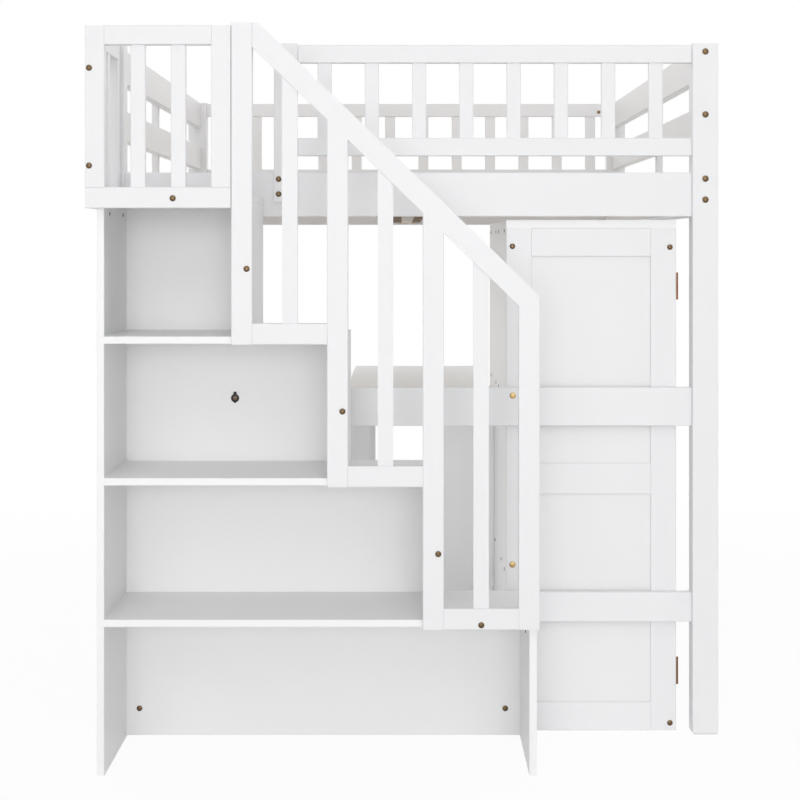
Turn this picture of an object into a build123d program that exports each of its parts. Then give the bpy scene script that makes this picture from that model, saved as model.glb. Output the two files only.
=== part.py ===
from build123d import *
import math
import os

# Loft bed with a storage staircase across its end, a wardrobe and a desk underneath.
# Millimetres. +X runs to the right of the stair end, +Y from the stairs to the far end, +Z is up.
# The origin is on the floor, under the middle of the whole object.

SIDES = ((-1, "left"), (1, "right"))

# Fits
fit = 0.3
arris = 1.5
board_arris = 1.0
mortise_depth = 10.0
groove_depth = 6.0
running_clearance = 0.05

# Bed frame
bed_width = 1448.0
bed_length = 2019.0
post_size = 60.0
post_height = 1615.0
foot_chamfer = 4.0
rail_thickness = 24.0
rail_drop = 2.0
tenon_length = 22.0
tenon_thickness = 12.0
tenon_shoulder = 7.0
deck_rail_top = 1314.0
deck_rail_height = 103.0
end_top_rail_height = 42.0
end_second_rail_top = 1395.0
end_second_rail_height = 42.0
end_mid_rail_top = 810.0
end_mid_rail_height = 90.0
end_low_rail_top = 330.0
end_low_rail_height = 69.0

# Guards
slat_width = 33.0
slat_thickness = 15.0
slat_pitch = 111.0
front_end_gap = 67.0
rear_least_gap = 30.0
side_upper_height = 80.0
side_lower_top = 1468.0
side_lower_height = 73.0
side_stile_width = 33.0
side_stile_foot = 1245.0
guard_post_width = 55.0
access_width = 350.0
guard_post_foot = 1245.0

# Mattress deck
ledger_width = 25.0
ledger_height = 25.0
deck_slat_underside = 1240.0
deck_slat_thickness = 12.0
deck_slat_width = 65.0
deck_slat_pitch = 145.0
centre_board_width = 90.0
centre_board_height = 21.0
bracket_width = 45.0
bracket_thickness = 3.0
bracket_leg = 60.0
bracket_rise = 62.0

# Staircase
stair_left_outset = 52.0
board = 16.0
stair_depth = 364.0
first_step_height = 337.0
rise = 305.0
run = 205.0
stair_steps = 3
stair_width = 948.0
back_thickness = 9.0
back_floor_gap = 4.0

# Handrail and landing guard
member_width = 45.0
member_thickness = 30.0
newel_overhang = 4.0
newel_rise = 5.0
handrail_depth = 64.0
handrail_fall = 52.0
handrail_low = 1014.5
handrail_mitre = 14.0
handrail_nose = 10.0
baluster_width = 33.0
baluster_thickness = 16.0
landing_stile_width = 42.0
landing_drop = 1.0
landing_top_rail_height = 41.0
landing_foot = 1223.0
landing_bottom_rail_height = 45.0
landing_gap = 1.0
landing_slat_width = 32.0
landing_slat_count = 2
side_guard_thickness = 21.0
side_guard_stile_width = 40.0

# Wardrobe
case_left = 231.0
case_width = 400.0
case_length = 890.0
case_deck_gap = 8.0
case_top_thickness = 19.0
end_thickness = 22.0
stile_width = 60.0
case_top_rail_height = 67.0
case_mid_rail_foot = 557.0
case_mid_rail_height = 73.0
case_bottom_rail_height = 67.0
panel_thickness = 8.0
case_back_thickness = 12.0
case_floor_thickness = 16.0
shelf_tops = (372.0, 795.0)
shelf_setback = 4.0
rod_radius = 12.5
rod_drop = 104.0
rod_socket_radius = 20.0
rod_socket_length = 14.0
rod_socket_floor = 3.0

# Doors
door_gap = 3.0
door_thickness = 20.0
door_stile_width = 57.0
door_rail_height = 60.0
door_panel_thickness = 6.0
knob_radius = 14.0
knob_neck_radius = 6.0
knob_neck_length = 9.0
knob_crown = 4.0
knob_length = 25.0
knob_height = 640.0

# Lift-off hinges
hinge_height = 64.0
hinge_leaf = 20.0
hinge_leaf_thickness = 1.2
knuckle_radius = 4.0
hinge_pin_radius = 2.0
hinge_inset = 67.0

# Desk
desk_height = 750.0
desk_top_thickness = 22.0
desk_depth = 398.0
desk_length = 1190.0
desk_start = 656.0
desk_overhang = 9.0
desk_leg = 57.0
desk_apron_height = 60.0
desk_apron_thickness = 20.0
desk_support_width = 153.0
desk_support_thickness = 18.0

# Bed bolts
bolt_radius = 3.0
bolt_head_radius = 6.5
bolt_head_height = 3.0
bolt_reach = 40.0
deck_bolt_drops = (15.0, 64.0)

# Ring pull on the stair back
pull_height = 788.0
pull_radius = 9.5
pull_band = 3.0
pull_thickness = 2.0
pull_tab_rise = 14.5
pull_tab_width = 7.0
pull_point_drop = 12.0
pull_boss_radius = 3.0

# Places that follow from the sizes
guard_thickness = (post_size - rail_thickness) / 2
stair_reach = stair_depth + member_thickness
front = -(bed_length + bolt_head_height + stair_reach) / 2 + stair_reach
rear = front + bed_length
half_width = bed_width / 2
inner = half_width - post_size
post_line = half_width - post_size / 2
rail_front = front + guard_thickness
rail_back = rail_front + rail_thickness
rear_rail_front = rear - guard_thickness - rail_thickness
rear_rail_back = rear - guard_thickness
side_inner = post_line - rail_thickness / 2
side_outer = post_line + rail_thickness / 2
guard_top = post_height - rail_drop
access_left = -inner
guard_post_left = access_left + access_width
guard_post_right = guard_post_left + guard_post_width

stair_left = -half_width + stair_left_outset
stair_right = stair_left + stair_width
stair_front = front - stair_depth
rail_plane = stair_front - member_thickness
landing_top = post_height - landing_drop
newel_top = post_height + newel_rise
handrail_high = newel_top - handrail_fall

case_right = case_left + case_width
case_front = rail_back
case_rear = case_front + case_length
case_height = deck_rail_top - deck_rail_height - case_deck_gap
case_wall_top = case_height - case_top_thickness
case_inside_front = case_front + end_thickness
case_inside_rear = case_rear - end_thickness
case_middle = (case_front + case_rear) / 2
door_foot = case_bottom_rail_height + door_gap
door_top = case_wall_top - case_top_rail_height - door_gap
hinge_x = case_right + knuckle_radius + fit
rod_height = case_wall_top - rod_drop


def bar(x, y, z, ease=arris):
    """A straight piece between (low, high) pairs, with its long edges eased."""
    sizes = [high - low for low, high in (x, y, z)]
    centre = [(high + low) / 2 for low, high in (x, y, z)]
    solid = Pos(*centre) * Box(*sizes)
    if not ease:
        return solid
    along = (Axis.X, Axis.Y, Axis.Z)[sizes.index(max(sizes))]
    return chamfer(solid.edges().filter_by(along), ease)


def room(x, y, z):
    """The space that a piece between these pairs needs in another piece."""
    return bar(*((low - fit, high + fit) for low, high in (x, y, z)), ease=0)


def cut(solid, spaces):
    """A piece with every given space taken out of it."""
    for space in spaces:
        solid = solid - space
    return solid


def shank_hole(point, out):
    """The blind hole of a bed bolt that enters at a point, against the outward direction."""
    length = post_size + bolt_reach + fit
    hole = Pos(0, 0, -length / 2) * Cylinder(bolt_radius + running_clearance, length)
    return Plane(origin=point, z_dir=out) * hole


def bed_bolt(point, out):
    """A flat round head seated on the post, on a shank that ends inside the rail."""
    length = post_size + bolt_reach
    shank = Pos(0, 0, -length / 2) * Cylinder(bolt_radius, length)
    head = Pos(0, 0, bolt_head_height / 2) * Cylinder(bolt_head_radius, bolt_head_height)
    return Plane(origin=point, z_dir=out) * (shank + head)


def bolt_places(side, end):
    """Point and outward direction of each bolt through one post into its deck rail."""
    face, out = (front, (0, -1, 0)) if end == "front" else (rear, (0, 1, 0))
    return [((side * post_line, face, deck_rail_top - drop), out) for drop in deck_bolt_drops]


def bed_bolts():
    corners = [(side, end) for side in (-1, 1) for end in ("front", "rear")]
    return [bed_bolt(*place) for corner in corners for place in bolt_places(*corner)]


# Posts and rails of the bed

def end_rail_heights(end):
    """The (low, high) pair of each rail of an end, by name."""
    heights = {
        "guard_top_rail": (guard_top - end_top_rail_height, guard_top),
        "guard_second_rail": (end_second_rail_top - end_second_rail_height, end_second_rail_top),
        "deck_rail": (deck_rail_top - deck_rail_height, deck_rail_top),
    }
    if end == "front":
        heights["mid_rail"] = (end_mid_rail_top - end_mid_rail_height, end_mid_rail_top)
        heights["low_rail"] = (end_low_rail_top - end_low_rail_height, end_low_rail_top)
    return heights


def end_rail_depth(end):
    return (rail_front, rail_back) if end == "front" else (rear_rail_front, rear_rail_back)


def rail_start(end, name):
    """The front guard rails stop at the access opening, and the others run to the left post."""
    short = end == "front" and name.startswith("guard")
    return guard_post_left if short else -inner


def tenon(end, height, side, start, size=bar):
    """The tongue on a rail's end that sits in the post."""
    y_low, y_high = end_rail_depth(end)
    middle = (y_low + y_high) / 2
    x = (inner, inner + tenon_length) if side > 0 else (start - tenon_length, start)
    y = (middle - tenon_thickness / 2, middle + tenon_thickness / 2)
    z = (height[0] + tenon_shoulder, height[1] - tenon_shoulder)
    return bar(x, y, z, ease=0) if size is bar else room(x, y, z)


def end_rail(end, name, height):
    start = rail_start(end, name)
    rail = bar((start, inner), end_rail_depth(end), height)
    rail = rail + tenon(end, height, 1, start)
    if start == -inner:
        rail = rail + tenon(end, height, -1, start)
    return rail


def post(end, side):
    """A square post with eased edges, a chamfered foot, its mortises and its bolt holes."""
    x = sorted((side * inner, side * half_width))
    y = (front, front + post_size) if end == "front" else (rear - post_size, rear)
    solid = bar(x, y, (0, post_height), ease=0)
    solid = chamfer(solid.faces().sort_by(Axis.Z)[0].edges(), foot_chamfer)
    solid = chamfer(solid.edges().filter_by(Axis.Z), arris)
    for name, height in end_rail_heights(end).items():
        start = rail_start(end, name)
        if side > 0 or start == -inner:
            solid = solid - tenon(end, height, side, start, size=room)
    spaces = [side_tenon(side, end, height, size=room) for height in side_guard_heights()]
    return cut(solid, spaces + [shank_hole(*place) for place in bolt_places(side, end)])


def side_guard_heights():
    upper = (guard_top - side_upper_height, guard_top)
    return upper, (side_lower_top - side_lower_height, side_lower_top)


def side_tenon(side, end, height, size=bar):
    """The tongue on the end of a side guard rail."""
    x = sorted((side * post_line - tenon_thickness / 2, side * post_line + tenon_thickness / 2))
    z = (height[0] + tenon_shoulder, height[1] - tenon_shoulder)
    if end == "front":
        y = (front + post_size - tenon_length, front + post_size)
    else:
        y = (rear - post_size, rear - post_size + tenon_length)
    return bar(x, y, z, ease=0) if size is bar else room(x, y, z)


def side_guard_rail(side, height):
    """A guard rail along the bed, tenoned into the posts."""
    x = sorted((side * side_inner, side * side_outer))
    rail = bar(x, (front + post_size, rear - post_size), height)
    return rail + side_tenon(side, "front", height) + side_tenon(side, "rear", height)


def side_deck_rail(side):
    """The wide rail along the bed, bored at both ends for the bed bolts."""
    x = sorted((side * side_inner, side * side_outer))
    z = (deck_rail_top - deck_rail_height, deck_rail_top)
    rail = bar(x, (front + post_size, rear - post_size), z)
    holes = [shank_hole(*place) for end in ("front", "rear") for place in bolt_places(side, end)]
    return cut(rail, holes)


def side_stile(side):
    """The flat upright outside the side guard, halfway along the bed."""
    middle = (front + rear) / 2
    x = sorted((side * side_outer, side * half_width))
    y = (middle - side_stile_width / 2, middle + side_stile_width / 2)
    return bar(x, y, (side_stile_foot, guard_top))


# Guards at the ends

def slat_lefts(end):
    """Left edges of the guard slats of an end."""
    if end == "front":
        last = inner - front_end_gap - slat_width
        count = int((last - guard_post_right) / slat_pitch) + 1
    else:
        count = int((2 * inner - 2 * rear_least_gap - slat_width) / slat_pitch) + 1
        last = ((count - 1) * slat_pitch - slat_width) / 2
    return [last - index * slat_pitch for index in range(count)]


def slat_pairs(end, left):
    """A guard slat's pairs, with its ends in the mortises of the two rails."""
    y_low, y_high = end_rail_depth(end)
    middle = (y_low + y_high) / 2
    heights = end_rail_heights(end)
    foot = heights["guard_second_rail"][1] - mortise_depth
    head = heights["guard_top_rail"][0] + mortise_depth
    y = (middle - slat_thickness / 2, middle + slat_thickness / 2)
    return (left, left + slat_width), y, (foot, head)


def slat_mortises(end):
    spaces = []
    for left in slat_lefts(end):
        x, y, z = slat_pairs(end, left)
        spaces.append(bar((x[0] - fit, x[1] + fit), (y[0] - fit, y[1] + fit), z, ease=0))
    return spaces


def guard_post():
    """The short post beside the access opening, lapped over the deck rail."""
    x = (guard_post_left, guard_post_right)
    return bar(x, (front, rail_front), (guard_post_foot, post_height))


# Mattress deck

def ledger(side):
    x = sorted((side * (side_inner - ledger_width), side * side_inner))
    z = (deck_slat_underside - ledger_height, deck_slat_underside)
    return bar(x, (front + post_size, rear - post_size), z)


def deck_slats():
    """Loose slats on the ledgers and the centre board, evenly spaced."""
    low = front + post_size
    high = rear - post_size
    count = int((high - low - deck_slat_width) / deck_slat_pitch) + 1
    step = (high - low - deck_slat_width) / (count - 1)
    x = (-side_inner + fit, side_inner - fit)
    z = (deck_slat_underside, deck_slat_underside + deck_slat_thickness)
    starts = [low + index * step for index in range(count)]
    return [bar(x, (start, start + deck_slat_width), z, ease=0) for start in starts]


def centre_board():
    x = (-centre_board_width / 2, centre_board_width / 2)
    y = (rail_back + bracket_thickness, rear_rail_front - bracket_thickness)
    return bar(x, y, (deck_slat_underside - centre_board_height, deck_slat_underside))


def centre_bracket(end):
    """An angle bracket on the end rail with a leg under the centre board."""
    face = rail_back if end == "front" else rear_rail_front
    inward = 1 if end == "front" else -1
    seat = deck_slat_underside - centre_board_height
    base = seat - bracket_thickness
    outline = Polyline(
        (0, base),
        (bracket_leg, base),
        (bracket_leg, seat),
        (bracket_thickness, seat),
        (bracket_thickness, base + bracket_rise),
        (0, base + bracket_rise),
        close=True,
    )
    angle = extrude(Plane.YZ * make_face(outline), bracket_width / 2, both=True)
    if inward < 0:
        angle = mirror(angle, Plane.XZ)
    return Pos(0, face, 0) * angle


# Staircase boards

def riser_right(level):
    """Outer face of the upright under the front edge of a level, 0 being the first step."""
    return stair_right - level * run


def level_top(level):
    return first_step_height + level * rise


def tread_pairs(level):
    """Pairs of a tread, which is also the shelf of the compartment below."""
    left = stair_left if level == stair_steps else stair_left + board - groove_depth
    return (left, riser_right(level)), (stair_front, front), (level_top(level) - board, level_top(level))


def riser_pairs(level):
    """Pairs of an upright, from the tread below to the tread that it carries."""
    foot = 0 if level == 0 else level_top(level - 1)
    x = (riser_right(level) - board, riser_right(level))
    return x, (stair_front, front), (foot, level_top(level) - board)


def back_pairs(level):
    """Pairs of a compartment's back, with its edges in the grooves around it."""
    foot = back_floor_gap if level == 0 else level_top(level - 1) - groove_depth
    x = (stair_left + board - groove_depth, riser_right(level) - board + groove_depth)
    z = (foot, level_top(level) - board + groove_depth)
    return x, (front - 2 * back_thickness, front - back_thickness), z


def back_grooves():
    return [room(*back_pairs(level)) for level in range(stair_steps + 1)]


def tread(level):
    return cut(bar(*tread_pairs(level), ease=board_arris), back_grooves())


def riser(level):
    return cut(bar(*riser_pairs(level), ease=board_arris), back_grooves())


def stair_back(level):
    return bar(*back_pairs(level), ease=0)


def stair_side():
    """The tall left side, housed for the treads and grooved for the backs."""
    pairs = (stair_left, stair_left + board), (stair_front, front), (0, level_top(stair_steps) - board)
    housings = []
    for level in range(stair_steps):
        x, y, z = tread_pairs(level)
        housings.append(bar((x[0], x[1]), (y[0] - fit, y[1] + fit), z, ease=0))
    return cut(bar(*pairs, ease=board_arris), housings + back_grooves())


# Handrail frame

def newel_span(level):
    right = riser_right(stair_steps - level) + newel_overhang
    return right - member_width, right


def newel_foot(level):
    """The newels end at the underside of their tread, and the last two share the lowest one."""
    return level_top(max(stair_steps - 1 - level, 0)) - board


def rail_underside(x):
    """Height of the handrail's lower edge over a place on the stairs."""
    high_x = newel_span(0)[1]
    low_x = newel_span(stair_steps)[0]
    return handrail_high + (handrail_low - handrail_high) * (x - high_x) / (low_x - high_x)


def frame_piece(points, thickness=member_thickness):
    """A piece of the handrail frame from its outline seen from the stair front."""
    middle = rail_plane + member_thickness / 2
    outline = make_face(Polyline(*points, close=True))
    solid = extrude(Plane.XZ * outline, thickness / 2, both=True)
    return Pos(0, middle, 0) * solid


def newel(level):
    """A newel, cut to the handrail's slope where the rail passes over it."""
    left, right = newel_span(level)
    foot = newel_foot(level)
    if level == 0:
        heads = (newel_top, newel_top)
    elif level == stair_steps:
        heads = (handrail_low, handrail_low + handrail_mitre)
    else:
        heads = (rail_underside(left), rail_underside(right))
    solid = frame_piece([(left, foot), (right, foot), (right, heads[1]), (left, heads[0])])
    return chamfer(solid.edges().filter_by(Axis.Z), arris)


def handrail():
    """The sloping rail, level with the top newel and rounded over the last one."""
    start = newel_span(0)[1]
    low_left, end = newel_span(stair_steps)
    flat = start + (handrail_high + handrail_depth - newel_top) / slope()
    solid = frame_piece(
        [
            (start, handrail_high),
            (low_left, handrail_low),
            (end, handrail_low + handrail_mitre),
            (end, rail_underside(end) + handrail_depth),
            (flat, newel_top),
            (start, newel_top),
        ]
    )
    nose = solid.edges().filter_by(Axis.Y).sort_by(Axis.X)[-2:].sort_by(Axis.Z)[-1]
    return fillet(nose, handrail_nose)


def slope():
    """Fall of the handrail for each millimetre of run."""
    return (handrail_high - handrail_low) / (newel_span(stair_steps)[0] - newel_span(0)[1])


def baluster(level):
    """A baluster midway between two newels, from the step rail to the handrail."""
    middle = (newel_span(level)[1] + newel_span(level + 1)[0]) / 2
    left = middle - baluster_width / 2
    right = middle + baluster_width / 2
    foot = newel_foot(level) + member_width
    points = [(left, foot), (right, foot), (right, rail_underside(right)), (left, rail_underside(left))]
    return frame_piece(points, baluster_thickness)


def step_rail(level):
    """The short rail across the front edge of a step, between two newels."""
    x = (newel_span(level)[1], newel_span(level + 1)[0])
    z = (newel_foot(level), newel_foot(level) + member_width)
    return bar(x, (rail_plane, stair_front), z)


# Landing guard

def landing_span():
    return stair_left - side_guard_thickness, newel_span(0)[0] - landing_gap


def landing_stile(side):
    left, right = landing_span()
    x = (left, left + landing_stile_width) if side < 0 else (right - landing_stile_width, right)
    z = (landing_foot + landing_bottom_rail_height, landing_top)
    return bar(x, (rail_plane, stair_front), z)


def landing_top_rail():
    left, right = landing_span()
    x = (left + landing_stile_width, right - landing_stile_width)
    rail = bar(x, (rail_plane, stair_front), (landing_top - landing_top_rail_height, landing_top))
    return cut(rail, landing_slat_rooms())


def landing_bottom_rail():
    z = (landing_foot, landing_foot + landing_bottom_rail_height)
    return cut(bar(landing_span(), (rail_plane, stair_front), z), landing_slat_rooms())


def landing_slat_pairs(index):
    """A landing slat's pairs; the slats and the gaps between them share the opening evenly."""
    left = landing_span()[0] + landing_stile_width
    clear = landing_span()[1] - landing_stile_width - left
    gap = (clear - landing_slat_count * landing_slat_width) / (landing_slat_count + 1)
    start = left + gap + index * (gap + landing_slat_width)
    middle = rail_plane + member_thickness / 2
    y = (middle - baluster_thickness / 2, middle + baluster_thickness / 2)
    foot = landing_foot + landing_bottom_rail_height - mortise_depth
    head = landing_top - landing_top_rail_height + mortise_depth
    return (start, start + landing_slat_width), y, (foot, head)


def landing_slat_rooms():
    spaces = []
    for index in range(landing_slat_count):
        x, y, z = landing_slat_pairs(index)
        spaces.append(bar((x[0] - fit, x[1] + fit), (y[0] - fit, y[1] + fit), z, ease=0))
    return spaces


def landing_side_guard():
    """The guard outside the landing: two rails, two stiles and a baluster."""
    x = (stair_left - side_guard_thickness, stair_left)
    y = (stair_front, front - bolt_head_height - fit)
    bottom = (landing_foot, landing_foot + landing_bottom_rail_height)
    top = (landing_top - landing_top_rail_height, landing_top)
    middle = (y[0] + y[1]) / 2
    lows = (y[0], middle - slat_width / 2, y[1] - side_guard_stile_width)
    widths = (side_guard_stile_width, slat_width, side_guard_stile_width)
    uprights = [bar(x, (low, low + width), (bottom[1], top[0])) for low, width in zip(lows, widths)]
    return [bar(x, y, bottom), bar(x, y, top)] + uprights


# Ring pull

def ring_pull():
    """A flat drop ring with a tab above and a point below, hung on a boss."""
    x_low, x_high = back_pairs(2)[0]
    face = back_pairs(2)[1][0]
    tab = Pos(0, pull_tab_rise / 2) * Rectangle(pull_tab_width, pull_tab_rise)
    half = pull_radius * math.sqrt(0.5)
    point = make_face(Polyline((-half, -half), (half, -half), (0, -pull_point_drop), close=True))
    outline = Circle(pull_radius) + tab + point - Circle(pull_radius - pull_band)
    ring = extrude(Plane.XZ * outline, pull_thickness)
    boss = extrude(Plane.XZ * Pos(0, pull_radius) * Circle(pull_boss_radius), 2 * pull_thickness)
    return Pos((x_low + x_high) / 2, face, pull_height) * (ring + boss)


# Wardrobe case

def panel_frame(x, y, z, rails, stile, panel_depth):
    """Stiles, rails and grooved-in panels of a wall that stands across X or Y.

    rails holds the (low, high) pairs of the rails from the bottom up.
    """
    wide_x = x[1] - x[0] > y[1] - y[0]
    low, high = x if wide_x else y
    depth = y if wide_x else x
    inside = (low + stile, high - stile)
    middle = (depth[0] + depth[1]) / 2
    thin = (middle - panel_depth / 2, middle + panel_depth / 2)

    def place(span, across, height, ease=arris):
        return bar(span, across, height, ease) if wide_x else bar(across, span, height, ease)

    gaps = [(below[1], above[0]) for below, above in zip(rails, rails[1:])]
    panels = []
    rooms = []
    for foot, head in gaps:
        span = (inside[0] - groove_depth, inside[1] + groove_depth)
        height = (foot - groove_depth, head + groove_depth)
        panels.append(place(span, thin, height, 0))
        span = (span[0] - fit, span[1] + fit)
        rooms.append(place(span, (thin[0] - fit, thin[1] + fit), (height[0] - fit, height[1] + fit), 0))
    stiles = [place(span, depth, z) for span in ((low, inside[0]), (inside[1], high))]
    cross = [place(inside, depth, height) for height in rails]
    frame = [cut(piece, rooms) for piece in stiles + cross]
    return frame, panels


def case_end(end):
    """Frame and panels of a wardrobe end."""
    y = (case_front, case_inside_front) if end == "near" else (case_inside_rear, case_rear)
    rails = [
        (0, case_bottom_rail_height),
        (case_mid_rail_foot, case_mid_rail_foot + case_mid_rail_height),
        (case_wall_top - case_top_rail_height, case_wall_top),
    ]
    z = (0, case_wall_top)
    return panel_frame((case_left, case_right), y, z, rails, stile_width, panel_thickness)


def case_top():
    z = (case_wall_top, case_height)
    return bar((case_left, case_right), (case_front, case_rear), z)


def case_back():
    x = (case_left, case_left + case_back_thickness)
    return bar(x, (case_inside_front, case_inside_rear), (0, case_wall_top), ease=0)


def case_floor():
    x = (case_left + case_back_thickness, case_right - end_thickness)
    z = (case_bottom_rail_height - case_floor_thickness, case_bottom_rail_height)
    return bar(x, (case_inside_front, case_inside_rear), z, ease=0)


def case_face_rail(z):
    x = (case_right - end_thickness, case_right)
    return bar(x, (case_inside_front, case_inside_rear), z)


def case_divider():
    x = (case_left + case_back_thickness, case_right - end_thickness - door_gap)
    y = (case_middle - board / 2, case_middle + board / 2)
    return bar(x, y, (case_bottom_rail_height, case_wall_top), ease=0)


def case_shelves():
    """Shelves of the far compartment, behind the far door."""
    x = (case_left + case_back_thickness, case_right - end_thickness - shelf_setback)
    y = (case_middle + board / 2, case_inside_rear)
    return [bar(x, y, (top - board, top), ease=board_arris) for top in shelf_tops]


def rod_ends():
    """The two faces that the hanging rod runs between."""
    return case_inside_front, case_middle - board / 2


def rod_centre_x():
    return (case_left + case_back_thickness + case_right - end_thickness) / 2


def hanging_rod():
    low, high = (place + way * (rod_socket_floor + fit) for place, way in zip(rod_ends(), (1, -1)))
    rod = Rot(90, 0, 0) * Cylinder(rod_radius, high - low)
    return Pos(rod_centre_x(), (low + high) / 2, rod_height) * rod


def rod_socket(wall, inward):
    """A flange with an open cradle, into which one end of the rod drops."""
    radius = rod_radius + running_clearance
    outline = Circle(rod_socket_radius) + Pos(0, rod_socket_radius / 2) * Rectangle(
        2 * rod_socket_radius, rod_socket_radius
    )
    opening = Circle(radius) + Pos(0, rod_socket_radius / 2) * Rectangle(2 * radius, rod_socket_radius)
    socket = extrude(outline, rod_socket_floor) + extrude(outline - opening, rod_socket_length)
    seat = Plane((rod_centre_x(), wall, rod_height), x_dir=(-inward, 0, 0), z_dir=(0, inward, 0))
    return seat * socket


# Doors

def door_span(door):
    """The y pair of a door between its end frame and the other door."""
    if door == "near":
        return case_inside_front + door_gap, case_middle - door_gap / 2
    return case_middle + door_gap / 2, case_inside_rear - door_gap


def door_parts(door):
    x = (case_right - door_thickness, case_right)
    middle = (door_foot + door_top) / 2
    rails = [
        (door_foot, door_foot + door_rail_height),
        (middle - door_rail_height / 2, middle + door_rail_height / 2),
        (door_top - door_rail_height, door_top),
    ]
    z = (door_foot, door_top)
    return panel_frame(x, door_span(door), z, rails, door_stile_width, door_panel_thickness)


def knob(door):
    """A turned knob on the stile beside the other door."""
    low, high = door_span(door)
    inset = door_stile_width / 2
    y = high - inset if door == "near" else low + inset
    outline = Polyline(
        (0, 0),
        (knob_neck_radius, 0),
        (knob_neck_radius, knob_neck_length),
        (knob_radius, knob_length - knob_crown),
        (knob_radius - knob_crown, knob_length),
        (0, knob_length),
        close=True,
    )
    turned = revolve(Plane.XZ * make_face(outline), Axis.Z)
    return Plane(origin=(case_right, y, knob_height), z_dir=(1, 0, 0)) * turned


# Hinges

def hinge_heights():
    """Middle heights of a door's two hinges."""
    return door_foot + hinge_inset, door_top - hinge_inset


def hinge_line(door):
    """Y of a door's hinge pin, in the middle of its gap."""
    if door == "near":
        return case_inside_front + door_gap / 2
    return case_inside_rear - door_gap / 2


def hinge_plate(door, height, toward):
    """A hinge leaf's plate, on the edge of the door (1) or of the end frame (-1)."""
    way = toward if door == "near" else -toward
    face = hinge_line(door) + way * door_gap / 2
    y = sorted((face, face - way * hinge_leaf_thickness))
    low = height - hinge_height / 2
    plate = bar((case_right - hinge_leaf, case_right), y, (low, low + hinge_height), ease=0)
    half = (height + fit, low + hinge_height) if toward > 0 else (low, height)
    return plate + bar((case_right, hinge_x), y, half, ease=0)


def knuckle(door, foot, head, radius):
    return Pos(hinge_x, hinge_line(door), (foot + head) / 2) * Cylinder(radius, head - foot)


def case_leaf(door, height):
    """The fixed leaf, whose lower knuckle carries the pin."""
    low = height - hinge_height / 2
    barrel = knuckle(door, low, height, knuckle_radius)
    pin = knuckle(door, height, low + hinge_height, hinge_pin_radius)
    return hinge_plate(door, height, -1) + barrel + pin


def door_leaf(door, height):
    """The moving leaf, whose upper knuckle turns on the pin."""
    head = height + hinge_height / 2
    barrel = knuckle(door, height + fit, head, knuckle_radius)
    bore = knuckle(door, height, head + fit, hinge_pin_radius + running_clearance)
    return hinge_plate(door, height, 1) + barrel - bore


# Desk

def desk_sides():
    """The x pair of the frame under the desk top."""
    right = case_left - fit
    return right - desk_depth + desk_overhang, right


def desk_ends():
    low = front + desk_start + desk_overhang
    return low, low + desk_length - 2 * desk_overhang


def desk_top():
    x = (case_left - fit - desk_depth, case_left - fit)
    y = (front + desk_start, front + desk_start + desk_length)
    return bar(x, y, (desk_height - desk_top_thickness, desk_height))


def desk_leg_piece(end):
    left = desk_sides()[0]
    low, high = desk_ends()
    y = (low, low + desk_leg) if end == "near" else (high - desk_leg, high)
    return bar((left, left + desk_leg), y, (0, desk_height - desk_top_thickness))


def desk_support(end):
    """The board that carries the wardrobe side of the desk."""
    right = desk_sides()[1]
    low, high = desk_ends()
    y = (low, low + desk_support_thickness) if end == "near" else (high - desk_support_thickness, high)
    return bar((right - desk_support_width, right), y, (0, desk_height - desk_top_thickness))


def desk_end_apron(end):
    left, right = desk_sides()
    low, high = desk_ends()
    y = (low, low + desk_apron_thickness) if end == "near" else (high - desk_apron_thickness, high)
    z = (desk_height - desk_top_thickness - desk_apron_height, desk_height - desk_top_thickness)
    return bar((left + desk_leg, right - desk_support_width), y, z)


def desk_long_apron():
    left = desk_sides()[0]
    low, high = desk_ends()
    z = (desk_height - desk_top_thickness - desk_apron_height, desk_height - desk_top_thickness)
    return bar((left, left + desk_apron_thickness), (low + desk_leg, high - desk_leg), z)


def save(name, pieces):
    """Write one sub-part, given as a solid or a list of solids."""
    if isinstance(pieces, list):
        pieces = Compound(children=pieces)
    export_step(pieces, os.path.join("parts", name + ".step"))


def save_bed():
    for end in ("front", "rear"):
        heights = end_rail_heights(end)
        rails = {name: end_rail(end, name, height) for name, height in heights.items()}
        guards = [rails.pop(name) for name in ("guard_top_rail", "guard_second_rail")]
        save(f"{end}_guard_rails", [cut(rail, slat_mortises(end)) for rail in guards])
        for name, rail in rails.items():
            save(f"{end}_{name}", rail)
        save(f"{end}_guard_slats", [bar(*slat_pairs(end, left)) for left in slat_lefts(end)])
        for side, word in SIDES:
            save(f"post_{end}_{word}", post(end, side))
    save("guard_post", guard_post())
    save("side_deck_rails", [side_deck_rail(side) for side, _ in SIDES])
    save("side_guard_stiles", [side_stile(side) for side, _ in SIDES])
    for side, word in SIDES:
        save(f"{word}_guard_rails", [side_guard_rail(side, height) for height in side_guard_heights()])
    save("deck_ledgers", [ledger(side) for side, _ in SIDES])
    save("deck_slats", deck_slats())
    save("centre_board", centre_board())
    save("centre_brackets", [centre_bracket(end) for end in ("front", "rear")])
    save("bed_bolts", bed_bolts())


def save_stairs():
    levels = range(stair_steps + 1)
    steps = range(stair_steps)
    save("stair_side", stair_side())
    save("stair_treads", [tread(level) for level in levels])
    save("stair_uprights", [riser(level) for level in levels])
    save("stair_backs", [stair_back(level) for level in levels])
    save("ring_pull", ring_pull())
    save("newels", [newel(level) for level in levels])
    save("handrail", handrail())
    save("balusters", [baluster(level) for level in steps])
    save("step_rails", [step_rail(level) for level in steps])
    save("landing_stiles", [landing_stile(side) for side, _ in SIDES])
    save("landing_rails", [landing_top_rail(), landing_bottom_rail()])
    save("landing_slats", [bar(*landing_slat_pairs(index)) for index in range(landing_slat_count)])
    save("landing_side_guard", landing_side_guard())


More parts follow.
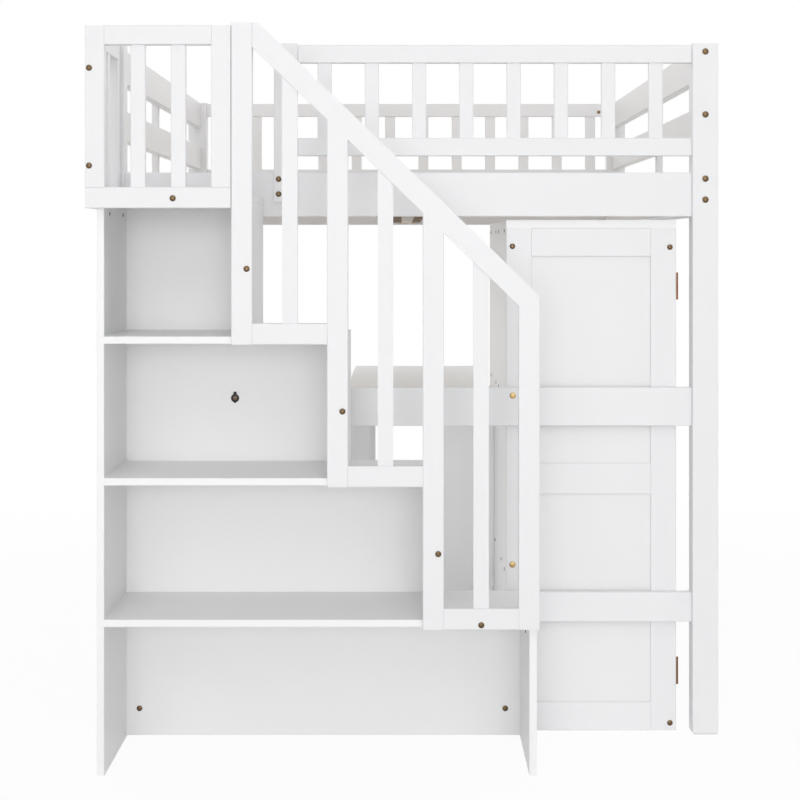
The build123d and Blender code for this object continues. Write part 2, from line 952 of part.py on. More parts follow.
def save_wardrobe():
    for end in ("near", "far"):
        frame, panels = case_end(end)
        save(f"case_{end}_frame", frame)
        save(f"case_{end}_panels", panels)
    save("case_top", case_top())
    save("case_back", case_back())
    save("case_floor", case_floor())
    head = (case_wall_top - case_top_rail_height, case_wall_top)
    save("case_face_rails", [case_face_rail((0, case_bottom_rail_height)), case_face_rail(head)])
    save("case_divider", case_divider())
    save("case_shelves", case_shelves())
    save("hanging_rod", hanging_rod())
    save("rod_sockets", [rod_socket(wall, inward) for wall, inward in zip(rod_ends(), (1, -1))])
    places = [(door, height) for door in ("near", "far") for height in hinge_heights()]
    save("case_hinge_leaves", [case_leaf(*place) for place in places])


def save_doors():
    for door in ("near", "far"):
        frame, panels = door_parts(door)
        save(f"door_{door}_frame", frame)
        save(f"door_{door}_panels", panels)
        save(f"door_{door}_knob", knob(door))
        save(f"door_{door}_leaves", [door_leaf(door, height) for height in hinge_heights()])


def save_desk():
    ends = ("near", "far")
    save("desk_top", desk_top())
    save("desk_legs", [desk_leg_piece(end) for end in ends])
    save("desk_supports", [desk_support(end) for end in ends])
    save("desk_aprons", [desk_end_apron(end) for end in ends] + [desk_long_apron()])


os.makedirs("parts", exist_ok=True)
save_bed()
save_stairs()
save_wardrobe()
save_doors()
save_desk()
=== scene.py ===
import math

import bmesh
import bpy
from mathutils import Matrix, Vector


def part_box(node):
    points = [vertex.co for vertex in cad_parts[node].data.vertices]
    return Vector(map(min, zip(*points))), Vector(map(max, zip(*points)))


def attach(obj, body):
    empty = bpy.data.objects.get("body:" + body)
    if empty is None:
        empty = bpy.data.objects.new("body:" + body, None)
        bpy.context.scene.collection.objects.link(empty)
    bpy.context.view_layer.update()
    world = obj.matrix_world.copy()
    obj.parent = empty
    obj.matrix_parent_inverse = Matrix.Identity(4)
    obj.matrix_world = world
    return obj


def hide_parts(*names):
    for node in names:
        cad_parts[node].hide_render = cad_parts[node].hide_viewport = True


# The looks of a white loft bed with a storage staircase, a wardrobe and a desk. Metres.

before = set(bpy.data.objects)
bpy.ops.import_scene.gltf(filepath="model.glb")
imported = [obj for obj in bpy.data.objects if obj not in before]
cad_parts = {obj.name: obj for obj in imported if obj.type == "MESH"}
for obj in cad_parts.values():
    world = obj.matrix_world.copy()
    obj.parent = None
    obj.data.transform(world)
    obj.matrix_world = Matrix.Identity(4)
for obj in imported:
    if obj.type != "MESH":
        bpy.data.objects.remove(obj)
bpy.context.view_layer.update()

# Camera
eye_height = 1.144
eye_side = -0.0124
eye_distance = 4.666
lens = 89.9
frame_pixels = 800
view_shift_x = -3 / frame_pixels
view_shift_y = -155 / frame_pixels
view_depth = 100.0

# Light. A lamp's strength is the share of its full tone that it gives a white surface.
sky_strength = 0.14
front_strength = 0.28
front_lamp_size = 4.5
front_lamp_distance = 11.7
front_lamp_height = 1.30
lamp_spread = math.radians(50)
lamps = {
    "low_light": ((0.0, 1.0, -0.25), 0.18),
    "high_light": ((0.0, 1.0, -1.0), 0.18),
    "left_light": ((1.0, 0.1, -0.3), 0.14),
    "right_light": ((-1.0, 0.1, -0.3), 0.14),
    "back_left_light": ((0.9, -1.0, -0.5), 0.30),
    "back_right_light": ((-0.9, -1.0, -0.5), 0.30),
    "top_light": ((0.0, 0.1, -1.0), 0.10),
}

# Floor. Its shadow fades out between two distances from the middle of the bed.
floor_size = 60.0
floor_tone = (0.92, 0.92, 0.92, 1.0)
floor_whiteness = 0.94
shadow_reach = (1.6, 4.0)
white = (1.0, 1.0, 1.0, 1.0)

# Tones, from a finish's darker patches to its lighter ones
wood_tones = ((0.820, 0.820, 0.832), (0.856, 0.856, 0.866))
# Board tones are set lighter than the wood's as painted light, lifting the shaded insides of the
# stair compartments
board_tones_with_painted_light = ((0.895, 0.895, 0.898), (0.925, 0.925, 0.928))
panel_tones = ((0.825, 0.825, 0.831), (0.855, 0.855, 0.861))
slat_tones = ((0.50, 0.38, 0.27), (0.68, 0.57, 0.44), (0.78, 0.69, 0.56))
# The centre board is brown wood, darkened further as painted shade for its underside lying in
# shadow
centre_board_and_painted_shade_tones = ((0.09, 0.055, 0.025), (0.16, 0.10, 0.05), (0.25, 0.16, 0.09))
bolt_tones = ((0.05, 0.033, 0.018), (0.20, 0.135, 0.075))
hinge_tones = ((0.16, 0.075, 0.04), (0.33, 0.18, 0.10))
knob_tones = ((0.16, 0.10, 0.05), (0.32, 0.21, 0.11))
brass_tones = ((0.42, 0.29, 0.14), (0.60, 0.44, 0.22))
rod_tones = ((0.70, 0.70, 0.71), (0.80, 0.80, 0.81))
lacquer_tones = ((0.005, 0.005, 0.005), (0.016, 0.015, 0.014))
screw_tones = ((0.025, 0.018, 0.012), (0.10, 0.075, 0.05))
pull_screw_tones = ((0.03, 0.022, 0.018), (0.14, 0.11, 0.09))
strap_tones = ((0.34, 0.28, 0.22), (0.48, 0.41, 0.34))
growth_line_stops = (0.30, 0.48, 0.70)

# Fasteners
head_radius = 0.0066
post_head_radius = 0.0075
head_height = 0.0030
socket_radius = 0.0026
screw_radius = 0.0044
screw_height = 0.0012
screw_cross_radius = 0.00242
nut_radius = 0.0057
nut_height = 0.0008
nut_slot_radius = 0.00456
leaf_screw_radius = 0.0026
leaf_screw_height = 0.0002
leaf_screw_cross_radius = 0.00156
pull_screw_radius = 0.0072
pull_screw_height = 0.0016
pull_screw_cross_radius = 0.0036

# A head's rim goes straight up for a share of its height, and its recess has a floor at another
rim_share = 0.25
recess_floor = 0.35
head_rings = 3
flat_head_rings = 1
head_sides = 24
sunk = 0.0002

# Recesses, as shares of their reach
hexagon_flat = 0.87
cross_arm = 0.3
slot_arm = 0.25
least_slope = 0.001

# Heights of the bolts through the posts
guard_bolts = (1.596, 1.449)
deck_bolt_drops = (0.015, 0.064)
guard_post_bolts = (1.298, 1.263)
guard_post_bolt_inset = 0.011
side_nut_inset = 0.042
end_nut_inset = 0.048
end_nut_drop = 0.006
end_bolt_margin = 0.022
end_guard_rail_height = 0.042

# Places on the staircase frame, from the nearest edges of its pieces
newel_width = 0.045
newel_bolt_inset = 0.033
newel_bolt_rise = 0.162
step_rise = 0.305
step_rail_bolt_rise = 0.010
landing_bolt_place = (0.188, 0.021)
landing_stile_inset = 0.009
landing_stile_bolts = (1.523, 1.314)
mid_rail_bolt_place = (0.245, 0.791)
back_bolt_insets = (0.0305, 0.0345)
back_bolt_height = 0.066
board_thickness = 0.016
side_screw_depths = (0.081, 0.288)
side_screw_height = 1.2125
upright_screw_depth = 0.131
upright_screw_height = 0.287
pull_screw_rise = 0.012

# Strap under the centre board
strap_width = 0.033
strap_thickness = 0.003
strap_inset = 0.058
strap_ease = 0.0005

# Wardrobe fasteners
case_bolt_inset = 0.0145
case_left_bolts = (1.141, 0.018)
case_brass_bolt = 0.391
case_right_bolts = (1.139, 0.018)
case_back_screws = {
    1.178: (0.084, 0.377, 0.513, 0.806),
    0.785: (0.084, 0.377, 0.513, 0.806),
    0.367: (0.084, 0.240, 0.560, 0.806),
}
door_gap = 0.003
hinge_plate = 0.0012
hinge_knuckle_reach = 0.0083
hinge_half_height = 0.032
hinge_screw_spread = 0.020
hinge_screw_inset = 0.010


# Materials


class Wire:
    """A node's output, on which arithmetic adds Math nodes."""

    def __init__(self, nodes, socket):
        self.nodes = nodes
        self.socket = socket

    def maths(self, operation, first, second):
        return self.nodes.add("ShaderNodeMath", {"operation": operation}, {0: first, 1: second})

    def __add__(self, other):
        return self.maths("ADD", self, other)

    def __radd__(self, other):
        return self.maths("ADD", other, self)

    def __mul__(self, other):
        return self.maths("MULTIPLY", self, other)

    def __rmul__(self, other):
        return self.maths("MULTIPLY", other, self)

    def over(self, other):
        """The larger of two values."""
        return self.maths("MAXIMUM", self, other)


class Nodes:
    """The node tree of one finish, or of the world."""

    def __init__(self, owner):
        owner.use_nodes = True
        self.owner = owner
        self.tree = owner.node_tree
        self.tree.nodes.clear()

    def add(self, kind, settings=None, sockets=None, output=0):
        """Adds a node, with its settings first, then the values or wires of its sockets."""
        made = self.tree.nodes.new(kind)
        for name, value in (settings or {}).items():
            if name == "stops":
                self.set_stops(made.color_ramp, value)
            else:
                setattr(made, name, value)
        for key, value in (sockets or {}).items():
            if isinstance(value, Wire):
                self.tree.links.new(value.socket, made.inputs[key])
            else:
                made.inputs[key].default_value = value
        return Wire(self, made.outputs[output]) if made.outputs else None

    def set_stops(self, ramp, stops):
        while len(ramp.elements) < len(stops):
            ramp.elements.new(0.5)
        for element, (position, colour) in zip(ramp.elements, stops):
            element.position = position
            element.color = (*colour, 1.0)

    def place(self, scale=(1.0, 1.0, 1.0)):
        """Object coordinates, stretched by a scale on each axis."""
        where = self.add("ShaderNodeTexCoord", output="Object")
        return self.add("ShaderNodeMapping", sockets={"Vector": where, "Scale": scale})

    def noise(self, vector, scale, detail=3.0, roughness=0.5, distortion=0.0):
        sockets = {
            "Vector": vector,
            "Scale": scale,
            "Detail": detail,
            "Roughness": roughness,
            "Distortion": distortion,
        }
        return self.add("ShaderNodeTexNoise", sockets=sockets)

    def blend(self, factor, tones):
        """A colour between two others."""
        low, high = tones
        sockets = {0: factor, 6: (*low, 1.0), 7: (*high, 1.0)}
        return self.add("ShaderNodeMix", {"data_type": "RGBA"}, sockets, output=2)

    def relief(self, height, strength, distance):
        sockets = {"Height": height, "Strength": strength, "Distance": distance}
        return self.add("ShaderNodeBump", sockets=sockets)

    def surface(self, sockets):
        shader = self.add("ShaderNodeBsdfPrincipled", sockets=sockets)
        self.add("ShaderNodeOutputMaterial", sockets={"Surface": shader})
        return self.owner


def grain_scale(along, share=0.05):
    """Stretches a pattern along the grain."""
    return tuple(share if axis == along else 1.0 for axis in "XYZ")


def painted_wood(along):
    """Satin white paint on pine, whose grain stands out a little under it."""
    nodes = Nodes(bpy.data.materials.new(f"painted_wood_{along}"))
    where = nodes.place(grain_scale(along))
    grain = nodes.noise(where, scale=160.0, detail=4.0, roughness=0.6, distortion=0.5)
    broad = nodes.noise(nodes.place(grain_scale(along, 0.2)), scale=9.0, detail=2.0)
    brush = nodes.noise(nodes.place(), scale=900.0, detail=2.0)
    sockets = {
        "Base Color": nodes.blend(grain * 0.6 + broad * 0.4, wood_tones),
        "Roughness": 0.36 + grain * 0.14,
        "Normal": nodes.relief(grain * 0.75 + brush * 0.25, strength=0.35, distance=0.0005),
    }
    return nodes.surface(sockets)


def painted_board(name, along, tones):
    """Smoother white paint on board, with the fine ripple of a sprayed coat."""
    nodes = Nodes(bpy.data.materials.new(name))
    ripple = nodes.noise(nodes.place(), scale=420.0, detail=2.0)
    broad = nodes.noise(nodes.place(grain_scale(along, 0.4)), scale=6.0, detail=2.0)
    sockets = {
        "Base Color": nodes.blend(broad * 0.7 + ripple * 0.3, tones),
        "Roughness": 0.40 + ripple * 0.10,
        "Normal": nodes.relief(ripple, strength=0.20, distance=0.0003),
    }
    return nodes.surface(sockets)


def raw_pine(name, along, tones):
    """Planed pine without paint, with darker growth lines, from three tones."""
    nodes = Nodes(bpy.data.materials.new(name))
    bend = nodes.noise(nodes.place(grain_scale(along, 0.12)), scale=7.0, detail=2.0)
    where = nodes.place(grain_scale(along, 0.02))
    rings = nodes.noise(where, scale=70.0, detail=3.0, roughness=0.6, distortion=1.2)
    fibre = nodes.noise(nodes.place(grain_scale(along, 0.03)), scale=600.0, detail=2.0)
    shade = rings * 0.65 + bend * 0.2 + fibre * 0.15
    stops = tuple(zip(growth_line_stops, tones))
    sockets = {
        "Base Color": nodes.add("ShaderNodeValToRGB", {"stops": stops}, {"Fac": shade}),
        "Roughness": 0.60 + fibre * 0.25,
        "Specular IOR Level": 0.2,
        "Normal": nodes.relief(fibre * 0.6 + rings * 0.4, strength=0.4, distance=0.0004),
    }
    return nodes.surface(sockets)


def plated_metal(name, tones, roughness, polish=0.12):
    """Plated metal with a cloudy tone and fine speckles."""
    nodes = Nodes(bpy.data.materials.new(name))
    cloud = nodes.noise(nodes.place(), scale=90.0)
    grit = nodes.noise(nodes.place(), scale=1920.0, detail=2.0)
    sockets = {
        "Base Color": nodes.blend(cloud * 0.6 + grit * 0.4, tones),
        "Metallic": 1.0,
        "Roughness": roughness + grit * polish,
        "Normal": nodes.relief(grit, strength=0.15, distance=0.0001),
    }
    return nodes.surface(sockets)


def black_lacquer():
    nodes = Nodes(bpy.data.materials.new("black_lacquer"))
    grit = nodes.noise(nodes.place(), scale=1600.0, detail=2.0)
    sockets = {
        "Base Color": nodes.blend(grit, lacquer_tones),
        "Roughness": 0.45 + grit * 0.2,
        "Specular IOR Level": 0.25,
        "Normal": nodes.relief(grit, strength=0.2, distance=0.0001),
    }
    return nodes.surface(sockets)


wood = {along: painted_wood(along) for along in "XYZ"}
# Every board finish takes the lightened tones, which are painted light for the shaded compartments
board = {along: painted_board(f"painted_board_{along}", along, board_tones_with_painted_light) for along in "XYZ"}
panel_board = painted_board("painted_panel", "Z", panel_tones)
slat_pine = raw_pine("slat_pine", "X", slat_tones)
# Brown wood whose dark tones are partly painted shade under the deck
centre_pine_with_painted_shade = raw_pine("board_pine_with_painted_shade", "Y", centre_board_and_painted_shade_tones)
bolt_bronze = plated_metal("bolt_bronze", bolt_tones, roughness=0.26)
hinge_bronze = plated_metal("hinge_bronze", hinge_tones, roughness=0.34)
knob_bronze = plated_metal("knob_bronze", knob_tones, roughness=0.34)
bracket_brass = plated_metal("bracket_brass", brass_tones, roughness=0.34)
rod_steel = plated_metal("rod_steel", rod_tones, roughness=0.16, polish=0.08)
pull_black = black_lacquer()
screw_bronze = plated_metal("screw_bronze", screw_tones, roughness=0.34)
pull_bronze = plated_metal("pull_bronze", pull_screw_tones, roughness=0.32)
strap_steel = plated_metal("strap_steel", strap_tones, roughness=0.42)

finishes = {
    "front_guard_rails": wood["X"],
    "front_deck_rail": wood["X"],
    "front_mid_rail": wood["X"],
    "front_low_rail": wood["X"],
    "rear_guard_rails": wood["X"],
    "rear_deck_rail": wood["X"],
    "handrail": wood["X"],
    "step_rails": wood["X"],
    "landing_rails": wood["X"],
    "side_deck_rails": wood["Y"],
    "left_guard_rails": wood["Y"],
    "right_guard_rails": wood["Y"],
    "case_face_rails": wood["Y"],
    "deck_ledgers": wood["Y"],
    "front_guard_slats": wood["Z"],
    "rear_guard_slats": wood["Z"],
    "post_front_left": wood["Z"],
    "post_front_right": wood["Z"],
    "post_rear_left": wood["Z"],
    "post_rear_right": wood["Z"],
    "guard_post": wood["Z"],
    "side_guard_stiles": wood["Z"],
    "newels": wood["Z"],
    "balusters": wood["Z"],
    "landing_stiles": wood["Z"],
    "landing_slats": wood["Z"],
    "desk_legs": wood["Z"],
    "stair_side": board["Z"],
    "stair_uprights": board["Z"],
    "case_back": board["Z"],
    "case_divider": board["Z"],
    "desk_supports": board["Z"],
    "stair_treads": board["X"],
    "stair_backs": board["X"],
    "case_top": board["Y"],
    "case_floor": board["Y"],
    "case_shelves": board["Y"],
    "desk_top": board["Y"],
    "case_near_panels": panel_board,
    "case_far_panels": panel_board,
    "door_near_panels": panel_board,
    "door_far_panels": panel_board,
    "deck_slats": slat_pine,
    "centre_board": centre_pine_with_painted_shade,
    "bed_bolts": bolt_bronze,
    "case_hinge_leaves": hinge_bronze,
    "door_near_leaves": hinge_bronze,
    "door_far_leaves": hinge_bronze,
    "door_near_knob": knob_bronze,
    "door_far_knob": knob_bronze,
    "centre_brackets": bracket_brass,
    "hanging_rod": rod_steel,
    "rod_sockets": rod_steel,
    "ring_pull": pull_black,
}

# Frames with upright stiles and level rails: the axis of the rails, and the width of a stile
frames = {
    "case_near_frame": ("X", 0.060),
    "case_far_frame": ("X", 0.060),
    "door_near_frame": ("Y", 0.057),
    "door_far_frame": ("Y", 0.057),
    "landing_side_guard": ("Y", 0.040),
    "desk_aprons": ("Y", 0.0),
}


def finish_node(name, material):
    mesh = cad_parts[name].data
    mesh.materials.clear()
    mesh.materials.append(material)


def finish_frame(name, along, stile):
    """Gives the stiles of a frame an upright grain, and its rails a level one."""
    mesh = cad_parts[name].data
    mesh.materials.clear()
    mesh.materials.append(wood["Z"])
    mesh.materials.append(wood[along])
    low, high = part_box(name)
    axis = "XYZ".index(along)
    for face in mesh.polygons:
        place = face.center[axis]
        face.material_index = int(low[axis] + stile < place < high[axis] - stile)


def new_piece(name, shape, material):
    """Makes an object of the scene from a finished shape."""
    mesh = bpy.data.meshes.new(name)
    shape.to_mesh(mesh)
    shape.free()
    mesh.materials.append(material)
    piece = bpy.data.objects.new(name, mesh)
    bpy.context.scene.collection.objects.link(piece)
    return piece


# Fasteners


def full_round(angle):
    """A round outline, which reaches as far at every angle."""
    return 1.0


def hexagon(angle):
    """Reach of a six-sided recess at an angle."""
    sixth = math.pi / 3
    return hexagon_flat / math.cos((angle + sixth / 2) % sixth - sixth / 2)


def cross(angle):
    """Reach of a cross recess at an angle."""
    narrow, wide = sorted((abs(math.cos(angle)), abs(math.sin(angle))))
    return min(1 / wide, cross_arm / max(narrow, least_slope))


def straight_slot(angle):
    """Reach of a straight slot at an angle."""
    along = max(abs(math.cos(angle)), least_slope)
    across = max(abs(math.sin(angle)), least_slope)
    return min(1 / along, slot_arm / across)


def fastener(radius, height, recess, recess_radius, rings=head_rings):
    """A round head with a recess, seated on the XY plane and facing +Z."""
    shape = bmesh.new()
    made = bmesh.ops.create_circle(shape, cap_ends=True, segments=head_sides, radius=radius)
    face = made["verts"][0].link_faces[0]
    if face.normal.z < 0:
        face.normal_flip()
    bmesh.ops.translate(shape, verts=list(face.verts), vec=(0, 0, -sunk))
    for ring in range(rings):
        turn = math.pi / 2 * ring / (rings + 1)
        rise = height * (rim_share + (1 - rim_share) * math.sin(turn))
        face = raised(shape, face, full_round, radius * math.cos(turn), rise)
    face = raised(shape, face, recess, recess_radius, height)
    face = raised(shape, face, recess, recess_radius, height * recess_floor)
    bmesh.ops.recalc_face_normals(shape, faces=shape.faces[:])
    mesh = bpy.data.meshes.new("fastener")
    shape.to_mesh(mesh)
    shape.free()
    return mesh


def raised(shape, face, outline, reach, height):
    """Extrudes a face and gives its rim a new outline and height."""
    made = bmesh.ops.extrude_face_region(shape, geom=[face])
    top = next(item for item in made["geom"] if isinstance(item, bmesh.types.BMFace))
    for corner in top.verts:
        angle = math.atan2(corner.co.y, corner.co.x)
        far = reach * outline(angle)
        corner.co = (far * math.cos(angle), far * math.sin(angle), height)
    if face.is_valid:
        bmesh.ops.delete(shape, geom=[face], context="FACES_ONLY")
    return top


def fasteners(name, template, places, material, body="root"):
    """One piece from a head repeated at every (point, outward direction) place."""
    shape = bmesh.new()
    for point, out in places:
        start = len(shape.verts)
        shape.from_mesh(template)
        shape.verts.ensure_lookup_table()
        turn = Vector(out).to_track_quat("Z", "Y").to_matrix().to_4x4()
        seat = Matrix.Translation(point) @ turn
        bmesh.ops.transform(shape, matrix=seat, verts=shape.verts[start:])
    piece = new_piece(name, shape, material)
    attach(piece, body)
    return piece


def post_face_places(heights):
    """Places at these heights, on the faces of the posts that look along the bed."""
    places = []
    for end, face, out in (("front", 0, (0, -1, 0)), ("rear", 1, (0, 1, 0))):
        for side in ("left", "right"):
            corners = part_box(f"post_{end}_{side}")
            middle = (corners[0].x + corners[1].x) / 2
            places += [((middle, corners[face].y, height), out) for height in heights]
    return places


def deck_bolt_places():
    """Bolts through the posts into the side deck rails."""
    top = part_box("side_deck_rails")[1].z
    return post_face_places([top - drop for drop in deck_bolt_drops])


def post_side_bolt_places():
    """Bolts through the posts' outer sides into the rails of each end."""
    places = []
    for end in ("front", "rear"):
        for side, face, out in (("left", 0, (-1, 0, 0)), ("right", 1, (1, 0, 0))):
            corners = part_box(f"post_{end}_{side}")
            middle = (corners[0].y + corners[1].y) / 2
            for height in end_bolt_heights(end, side):
                places.append(((corners[face].x, middle, height), out))
    return places


def end_bolt_heights(end, side):
    """Heights of the bolts into an end's rails; the front guard rails stop before the left post."""
    low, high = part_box(f"{end}_deck_rail")
    heights = [low.z + end_bolt_margin, high.z - end_bolt_margin]
    if not (end == "front" and side == "left"):
        heights += end_guard_middles(end)
    if end == "front":
        for name in ("front_mid_rail", "front_low_rail"):
            low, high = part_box(name)
            heights.append((low.z + high.z) / 2)
    return heights


def end_guard_middles(end):
    """Middle heights of an end's two guard rails."""
    low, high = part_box(f"{end}_guard_rails")
    return low.z + end_guard_rail_height / 2, high.z - end_guard_rail_height / 2


def guard_post_bolt_places():
    """Four bolts that hold the short guard post to the deck rail."""
    low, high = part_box("guard_post")
    columns = (low.x + guard_post_bolt_inset, high.x - guard_post_bolt_inset)
    return [((across, low.y, z), (0, -1, 0)) for across in columns for z in guard_post_bolts]


def stair_frame_bolt_places():
    """Bolts in the front of the newels, the lowest step rail and the landing guard."""
    low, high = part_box("newels")
    run = (high.x - low.x - newel_width) / 3
    spots = [
        (low.x + level * run + newel_bolt_inset, low.z + (2 - level) * step_rise + newel_bolt_rise)
        for level in range(3)
    ]
    spots.append((high.x - (newel_width + run) / 2, low.z + step_rail_bolt_rise))
    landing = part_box("landing_rails")[0]
    spots.append((landing.x + landing_bolt_place[0], landing.z + landing_bolt_place[1]))
    spots += [(landing.x + landing_stile_inset, height) for height in landing_stile_bolts]
    return [((across, low.y, height), (0, -1, 0)) for across, height in spots]


def back_bolt_places():
    """Two bolts low on the back of the lowest compartment."""
    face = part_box("stair_backs")[0].y
    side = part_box("stair_side")[1].x
    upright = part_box("stair_uprights")[1].x
    left, right = back_bolt_insets
    across = (side + left, upright - board_thickness - right)
    return [((place, face, back_bolt_height), (0, -1, 0)) for place in across]


def stair_screw_places():
    """Screws through the tall side, under the landing, and one in the lowest upright."""
    front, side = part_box("stair_side")
    depths = [front.y + depth for depth in side_screw_depths]
    places = [((side.x, depth, side_screw_height), (1, 0, 0)) for depth in depths]
    low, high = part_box("stair_uprights")
    inner = high.x - (side.x - front.x)
    places.append(((inner, low.y + upright_screw_depth, upright_screw_height), (-1, 0, 0)))
    return places


def pull_screw_places():
    """The screw through the middle of the ring pull."""
    low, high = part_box("ring_pull")
    centre = ((low.x + high.x) / 2, high.y, low.z + pull_screw_rise)
    return [(centre, (0, -1, 0))]


def case_bolt_places():
    """Bolts through the wardrobe's ends into its back, floor and front rails."""
    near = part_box("case_near_frame")
    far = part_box("case_far_frame")
    columns = (
        (near[0].x + case_bolt_inset, case_left_bolts),
        (near[1].x - case_bolt_inset, case_right_bolts),
    )
    places = []
    for across, heights in columns:
        for height in heights:
            places.append(((across, near[0].y, height), (0, -1, 0)))
            places.append(((across, far[1].y, height), (0, 1, 0)))
    return places


def brass_bolt_places():
    """Yellow bolts in the middle rail of the bed's end, and in the wardrobe's ends."""
    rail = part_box("front_mid_rail")[0].y
    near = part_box("case_near_frame")[0]
    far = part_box("case_far_frame")[1].y
    across = near.x + case_bolt_inset
    return [
        ((mid_rail_bolt_place[0], rail, mid_rail_bolt_place[1]), (0, -1, 0)),
        ((across, near.y, case_brass_bolt), (0, -1, 0)),
        ((across, far, case_brass_bolt), (0, 1, 0)),
    ]


def case_back_screw_places():
    """Rows of screws through the wardrobe's back."""
    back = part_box("case_back")[0].x
    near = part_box("case_near_frame")[0].y
    return [
        ((back, near + column, height), (-1, 0, 0))
        for height, row in case_back_screws.items()
        for column in row
    ]


def rail_nut_places():
    """Barrel nuts outside the side guard rails and inside the end ones."""
    places = []
    for side, face, out in (("left", 0, (-1, 0, 0)), ("right", 1, (1, 0, 0))):
        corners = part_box(f"{side}_guard_rails")
        across = corners[face].x
        ends = (corners[0].y + side_nut_inset, corners[1].y - side_nut_inset)
        places += [((across, along, height), out) for along in ends for height in guard_bolts]
    for end, face, out in (("front", 1, (0, 1, 0)), ("rear", 0, (0, -1, 0))):
        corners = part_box(f"{end}_guard_rails")
        across = corners[1].x - end_nut_inset
        along = corners[face].y
        heights = [middle - end_nut_drop for middle in end_guard_middles(end)]
        places += [((across, along, height), out) for height in heights]
    return places


def hinge_screw_places(door, leaf):
    """Two screws in each leaf of a door's hinges, facing the gap."""
    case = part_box("case_hinge_leaves")
    side, way = (0, 1) if door == "near" else (1, -1)
    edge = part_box(f"door_{door}_frame")[side].y
    if leaf == "door":
        along, out = edge - way * hinge_plate, (0, -way, 0)
    else:
        along, out = edge - way * (door_gap - hinge_plate), (0, way, 0)
    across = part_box(f"door_{door}_leaves")[1].x - hinge_knuckle_reach - hinge_screw_inset
    middles = (case[0].z + hinge_half_height, case[1].z - hinge_half_height)
    heights = [middle + step * hinge_screw_spread for middle in middles for step in (-1, 1)]
    return [((across, along, height), out) for height in heights]


def centre_strap():
    """A flat steel strap under the centre board, between its two angle brackets."""
    low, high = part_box("centre_board")
    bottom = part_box("centre_brackets")[0].z
    shape = bmesh.new()
    bmesh.ops.create_cube(shape, size=1.0)
    size = (strap_width, high.y - low.y - 2 * strap_inset, strap_thickness)
    bmesh.ops.scale(shape, vec=size, verts=shape.verts[:])
    centre = ((low.x + high.x) / 2, (low.y + high.y) / 2, bottom + strap_thickness / 2)
    bmesh.ops.translate(shape, vec=centre, verts=shape.verts[:])
    long_edges = [edge for edge in shape.edges if edge.calc_length() > strap_width * 2]
    bmesh.ops.bevel(
        shape,
        geom=long_edges,
        offset=strap_ease,
        affect="EDGES",
        segments=2,
        profile=0.5,
        material=-1,
    )
    piece = new_piece("centre_strap", shape, strap_steel)
    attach(piece, "root")


# Stage


def floor():
    """A pale floor that shows nearly white to the camera and keeps the shadow of the bed."""
    shape = bmesh.new()
    bmesh.ops.create_grid(shape, x_segments=1, y_segments=1, size=floor_size)
    nodes = Nodes(bpy.data.materials.new("pale_floor"))
    rays = nodes.add("ShaderNodeLightPath", output="Is Camera Ray")
    glossy = nodes.add("ShaderNodeLightPath", output="Is Glossy Ray")
    matt = nodes.add("ShaderNodeBsdfDiffuse", sockets={"Color": floor_tone})
    glow = nodes.add("ShaderNodeEmission", sockets={"Color": white, "Strength": 1.0})
    where = nodes.add("ShaderNodeTexCoord", output="Object")
    away = nodes.add("ShaderNodeVectorMath", {"operation": "LENGTH"}, {0: where}, output="Value")
    near, far = shadow_reach
    steps = {0: away, 1: near, 2: far, 3: floor_whiteness, 4: 1.0}
    fade = nodes.add("ShaderNodeMapRange", sockets=steps)
    share = rays.over(glossy) * fade
    surface = nodes.add("ShaderNodeMixShader", sockets={0: share, 1: matt, 2: glow})
    nodes.add("ShaderNodeOutputMaterial", sockets={"Surface": surface})
    new_piece("floor", shape, nodes.owner)


def sky():
    """Even light from all round, and white where the camera or a reflection looks past the bed."""
    world = bpy.data.worlds.new("studio")
    bpy.context.scene.world = world
    nodes = Nodes(world)
    seen = nodes.add("ShaderNodeLightPath", output="Is Camera Ray")
    glossy = nodes.add("ShaderNodeLightPath", output="Is Glossy Ray")
    through = nodes.add("ShaderNodeLightPath", output="Is Transmission Ray")
    light = nodes.add("ShaderNodeBackground", sockets={"Color": white, "Strength": sky_strength})
    backdrop = nodes.add("ShaderNodeBackground", sockets={"Color": white, "Strength": 1.0})
    share = seen.over(glossy).over(through)
    surface = nodes.add("ShaderNodeMixShader", sockets={0: share, 1: light, 2: backdrop})
    nodes.add("ShaderNodeOutputWorld", sockets={"Surface": surface})


def front_lamp():
    """A large round lamp behind the camera, which also lights the backs of the compartments."""
    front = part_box("post_front_right")[0].y
    data = bpy.data.lights.new("front_light", "AREA")
    data.shape = "DISK"
    data.size = front_lamp_size
    data.energy = front_strength * (math.pi * front_lamp_distance) ** 2
    piece = bpy.data.objects.new("front_light", data)
    piece.location = (eye_side, front - front_lamp_distance, front_lamp_height)
    piece.rotation_euler = (math.pi / 2, 0, 0)
    bpy.context.scene.collection.objects.link(piece)


def lamp(name, direction, strength):
    """A broad soft lamp far away."""
    data = bpy.data.lights.new(name, "SUN")
    data.energy = strength * math.pi
    data.angle = lamp_spread
    piece = bpy.data.objects.new(name, data)
    piece.rotation_mode = "QUATERNION"
    piece.rotation_quaternion = Vector(direction).to_track_quat("-Z", "Y")
    bpy.context.scene.collection.objects.link(piece)


def camera():
    """Looks level along the bed from the stair end, with the photograph's horizon."""
    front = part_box("post_front_right")[0].y
    data = bpy.data.cameras.new("photo_view")
    data.lens = lens
    data.shift_x = view_shift_x
    data.shift_y = view_shift_y
    data.clip_end = view_depth
    piece = bpy.data.objects.new("photo_view", data)
    piece.location = (eye_side, front - eye_distance, eye_height)
    piece.rotation_euler = (math.pi / 2, 0, 0)
    bpy.context.scene.collection.objects.link(piece)
    bpy.context.scene.camera = piece


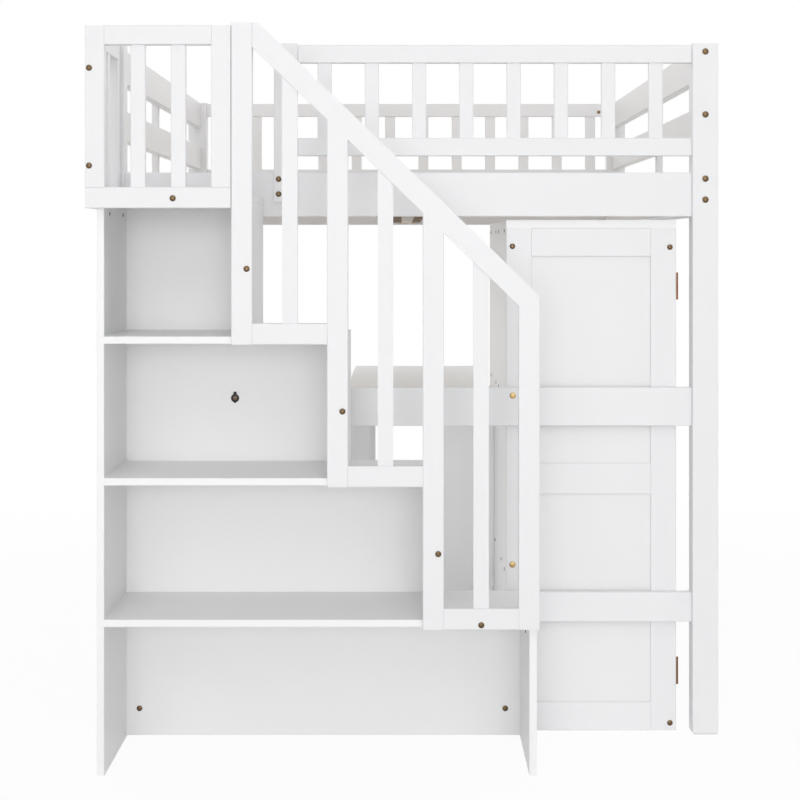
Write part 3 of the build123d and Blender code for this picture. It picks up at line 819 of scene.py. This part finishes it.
for name, material in finishes.items():
    finish_node(name, material)
for name, (along, stile) in frames.items():
    finish_frame(name, along, stile)

post_head = fastener(post_head_radius, head_height, hexagon, socket_radius)
bolt_head = fastener(head_radius, head_height, hexagon, socket_radius)
screw_head = fastener(screw_radius, screw_height, cross, screw_cross_radius)
barrel_nut = fastener(nut_radius, nut_height, straight_slot, nut_slot_radius, flat_head_rings)
pull_screw = fastener(pull_screw_radius, pull_screw_height, cross, pull_screw_cross_radius)
leaf_screw = fastener(
    leaf_screw_radius, leaf_screw_height, cross, leaf_screw_cross_radius, flat_head_rings
)

# Each row: the head, its places and its finish
bolt_sets = {
    "post_bolt_heads": (post_head, post_face_places(guard_bolts), bolt_bronze),
    "deck_bolt_heads": (post_head, deck_bolt_places(), bolt_bronze),
    "post_side_bolt_heads": (post_head, post_side_bolt_places(), bolt_bronze),
    "guard_post_bolt_heads": (bolt_head, guard_post_bolt_places(), bolt_bronze),
    "stair_frame_bolt_heads": (bolt_head, stair_frame_bolt_places(), bolt_bronze),
    "stair_back_bolt_heads": (bolt_head, back_bolt_places(), bolt_bronze),
    "stair_screws": (screw_head, stair_screw_places(), screw_bronze),
    "case_bolt_heads": (bolt_head, case_bolt_places(), bolt_bronze),
    "case_back_screws": (screw_head, case_back_screw_places(), screw_bronze),
    "rail_barrel_nuts": (barrel_nut, rail_nut_places(), bolt_bronze),
}
for name, (head, places, finish) in bolt_sets.items():
    piece = fasteners(name, head, places, finish)
    if name == "deck_bolt_heads":
        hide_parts("bed_bolts")
fasteners("ring_pull_screw", pull_screw, pull_screw_places(), pull_bronze)
centre_strap()
fasteners("brass_bolt_heads", post_head, brass_bolt_places(), bracket_brass)
for door in ("near", "far"):
    for leaf, body in (("case", "root"), ("door", f"door_{door}")):
        places = hinge_screw_places(door, leaf)
        name = f"{leaf}_{door}_leaf_screws"
        fasteners(name, leaf_screw, places, hinge_bronze, body)

floor()
sky()
front_lamp()
for name, (direction, strength) in lamps.items():
    lamp(name, direction, strength)
camera()
bpy.context.scene.view_settings.view_transform = "Standard"
